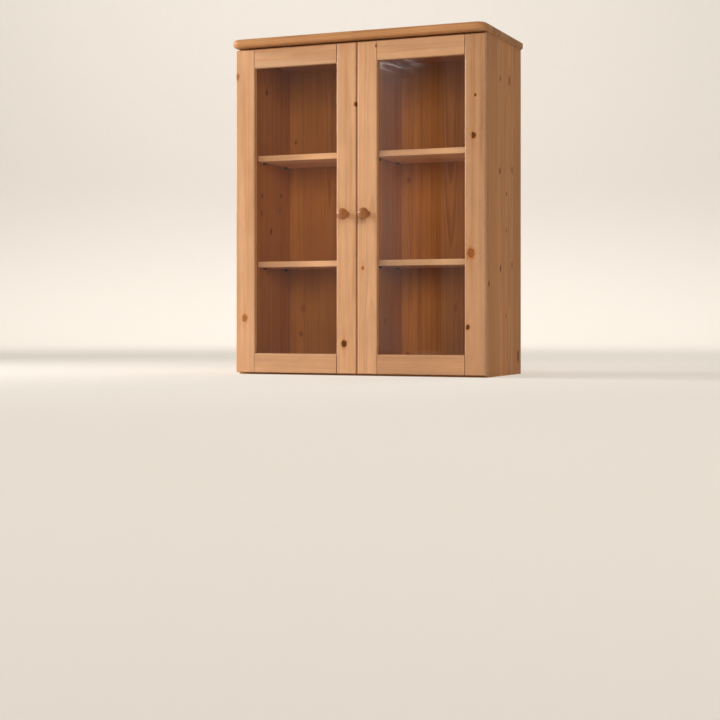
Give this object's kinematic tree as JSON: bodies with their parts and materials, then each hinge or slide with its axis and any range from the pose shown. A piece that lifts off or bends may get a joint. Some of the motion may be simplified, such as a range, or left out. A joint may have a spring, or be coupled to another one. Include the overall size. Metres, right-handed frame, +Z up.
{
  "type": "glass door cabinet",
  "caption": "Pine display cabinet with framed glass doors on concealed hinges, a centre divider, shelves and a bullnosed top board.",
  "frame": {"origin": "on the underside of the carcass, midway between its sides and midway between its front and back edges", "axes": "+X to the right of someone facing the doors, +Y from the doors to the back, +Z up"},
  "size_m": [0.812, 0.4012, 1.019],
  "materials": {
    "pine": "brown stain, satin varnish",
    "knob_wood": "brown stain, satin varnish, turned",
    "dowel_wood": "raw beech",
    "glass": "clear float glass",
    "steel": "nickel plated",
    "plastic": "moulded brown",
    "rubber": "clear soft buffer"
  },
  "bodies": {
    "carcass": {"back_panel": "pine", "back_panel_screws": "steel", "bottom_panel": "pine", "carcass_dowels": "dowel_wood", "catch_housing_left": "plastic", "catch_housing_right": "plastic", "catch_magnets": "steel", "catch_screws": "steel", "centre_divider": "pine", "hanging_plate_screws": "steel", "hanging_plates": "steel", "hinge_arm_lower_left": "steel", "hinge_arm_lower_right": "steel", "hinge_arm_upper_left": "steel", "hinge_arm_upper_right": "steel", "hinge_plate_lower_left": "steel", "hinge_plate_lower_right": "steel", "hinge_plate_upper_left": "steel", "hinge_plate_upper_right": "steel", "hinge_screws": "steel", "inner_top_panel": "pine", "shelf_lower_left": "pine", "shelf_lower_right": "pine", "shelf_supports": "plastic", "shelf_upper_left": "pine", "shelf_upper_right": "pine", "side_panel_left": "pine", "side_panel_right": "pine", "top_board": "pine", "top_board_screws": "steel"},
    "left_door": {"door_bottom_rail_left": "pine", "door_buffers_left": "rubber", "door_glass_left": "glass", "door_glazing_beads_left": "pine", "door_inner_stile_left": "pine", "door_knob_left": "knob_wood", "door_knob_screw_left": "steel", "door_outer_stile_left": "pine", "door_screws_left": "steel", "door_strike_plate_left": "steel", "door_top_rail_left": "pine", "hinge_cup_lower_left": "steel", "hinge_cup_upper_left": "steel", "hinge_pins_left": "steel"},
    "right_door": {"door_bottom_rail_right": "pine", "door_buffers_right": "rubber", "door_glass_right": "glass", "door_glazing_beads_right": "pine", "door_inner_stile_right": "pine", "door_knob_right": "knob_wood", "door_knob_screw_right": "steel", "door_outer_stile_right": "pine", "door_screws_right": "steel", "door_strike_plate_right": "steel", "door_top_rail_right": "pine", "hinge_cup_lower_right": "steel", "hinge_cup_upper_right": "steel", "hinge_pins_right": "steel"}
  },
  "joints": [
    {"name": "left_door_hinge", "type": "hinge", "parent": "carcass", "child": "left_door", "pos_m": [-0.39, -0.178, 0.4975], "axis": [0, 0, -1], "range_deg": [0, 100]},
    {"name": "right_door_hinge", "type": "hinge", "parent": "carcass", "child": "right_door", "pos_m": [0.39, -0.178, 0.4975], "axis": [0, 0, 1], "range_deg": [0, 100]}
  ]
}
